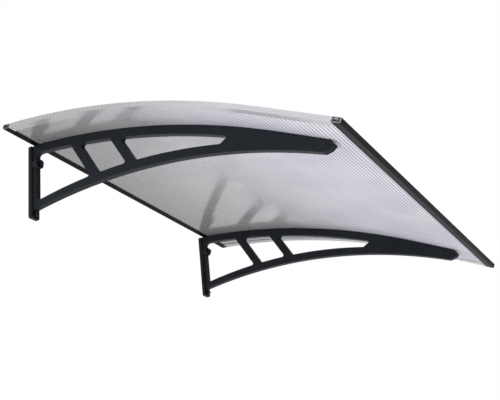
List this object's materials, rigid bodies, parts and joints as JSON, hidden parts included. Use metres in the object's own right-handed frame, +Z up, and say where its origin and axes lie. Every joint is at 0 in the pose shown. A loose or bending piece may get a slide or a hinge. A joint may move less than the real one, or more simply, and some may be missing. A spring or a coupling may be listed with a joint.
{
  "type": "polycarbonate door canopy",
  "caption": "Clear twin-wall canopy sheet bent over black brackets, with grey rear and front profiles.",
  "frame": {"origin": "on the wall plane, midway between the brackets, level with the middle of the sheet at the wall", "axes": "+X along the wall to the right seen from the street, +Y into the wall, +Z up; the canopy reaches out to -Y"},
  "size_m": [1.0156, 0.9004, 0.3364],
  "materials": {
    "bracket_plastic": "black moulded plastic with a fine satin grain",
    "clear_sheet": "clear extruded twin-wall polycarbonate, glossy skins with fine ribs",
    "grey_aluminium": "dark grey coated aluminium extrusion, satin",
    "clear_trim": "clear extruded polycarbonate channel",
    "seal_rubber": "black rubber washers",
    "black_steel": "black plated steel"
  },
  "bodies": {
    "root": {"bracket_left": "bracket_plastic", "bracket_right": "bracket_plastic", "roof_sheet": "clear_sheet", "front_profile": "grey_aluminium", "rear_profile": "grey_aluminium", "edge_trim_left": "clear_trim", "edge_trim_right": "clear_trim", "wall_bolt_left_upper": "black_steel", "wall_washer_left_upper": "black_steel", "wall_bolt_left_lower": "black_steel", "wall_washer_left_lower": "black_steel", "sheet_screw_left_1": "black_steel", "sheet_washer_left_1": "seal_rubber", "sheet_screw_left_2": "black_steel", "sheet_washer_left_2": "seal_rubber", "sheet_screw_left_3": "black_steel", "sheet_washer_left_3": "seal_rubber", "sheet_screw_left_4": "black_steel", "sheet_washer_left_4": "seal_rubber", "sheet_screw_left_5": "black_steel", "sheet_washer_left_5": "seal_rubber", "wall_bolt_right_upper": "black_steel", "wall_washer_right_upper": "black_steel", "wall_bolt_right_lower": "black_steel", "wall_washer_right_lower": "black_steel", "sheet_screw_right_1": "black_steel", "sheet_washer_right_1": "seal_rubber", "sheet_screw_right_2": "black_steel", "sheet_washer_right_2": "seal_rubber", "sheet_screw_right_3": "black_steel", "sheet_washer_right_3": "seal_rubber", "sheet_screw_right_4": "black_steel", "sheet_washer_right_4": "seal_rubber", "sheet_screw_right_5": "black_steel", "sheet_washer_right_5": "seal_rubber"}
  },
  "joints": []
}
